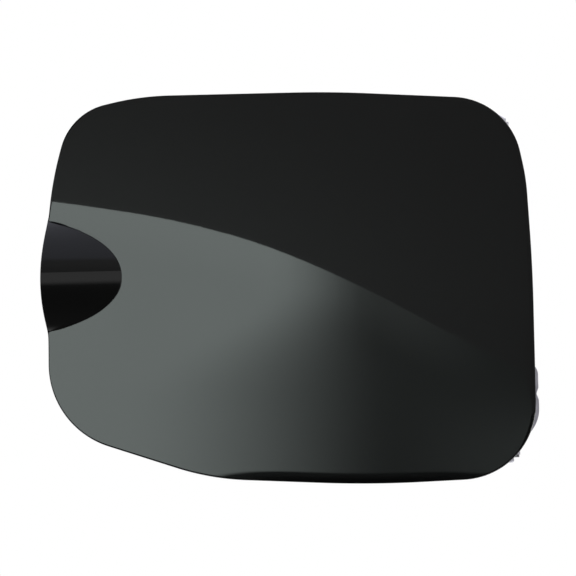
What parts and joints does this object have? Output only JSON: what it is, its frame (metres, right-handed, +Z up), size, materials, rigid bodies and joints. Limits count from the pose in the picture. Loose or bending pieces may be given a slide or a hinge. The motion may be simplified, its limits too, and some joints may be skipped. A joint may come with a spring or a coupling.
{
  "type": "fuel filler door",
  "caption": "Rounded, crowned fuel filler door with a finger scoop at one edge, hemmed over a pressed inner panel and swung on a spring-closed side hinge.",
  "frame": {"origin": "midway between the two bolt holes, on the back face of the hinge bracket", "axes": "+Z up along the hinge rod, +Y in towards the car body, so the painted face looks along -Y, and +X from the finger scoop towards the hinge"},
  "size_m": [0.1934, 0.0306, 0.1543],
  "materials": {
    "gloss_black_paint": "gloss",
    "black_primer": "satin",
    "zinc_plate": "satin",
    "spring_steel": "satin",
    "nylon": "matte",
    "rubber": "matte"
  },
  "bodies": {
    "bracket": {"hinge_bracket": "zinc_plate", "hinge_rod": "zinc_plate", "rod_clip": "spring_steel", "torsion_spring": "spring_steel"},
    "lid": {"outer_panel": "gloss_black_paint", "inner_panel": "black_primer", "hinge_arm_upper": "zinc_plate", "hinge_arm_lower": "zinc_plate", "arm_rivets": "zinc_plate", "bush_upper": "nylon", "bush_lower": "nylon", "buffer_upper": "rubber", "buffer_lower": "rubber"}
  },
  "joints": [
    {"name": "lid_hinge", "type": "hinge", "parent": "bracket", "child": "lid", "pos_m": [0.01, -0.017, 0], "axis": [0, 0, 1], "range_deg": [0, 90], "stiffness_Nm_per_rad": 0.08, "springref_deg": -57.3, "deforming": ["torsion_spring"]}
  ]
}
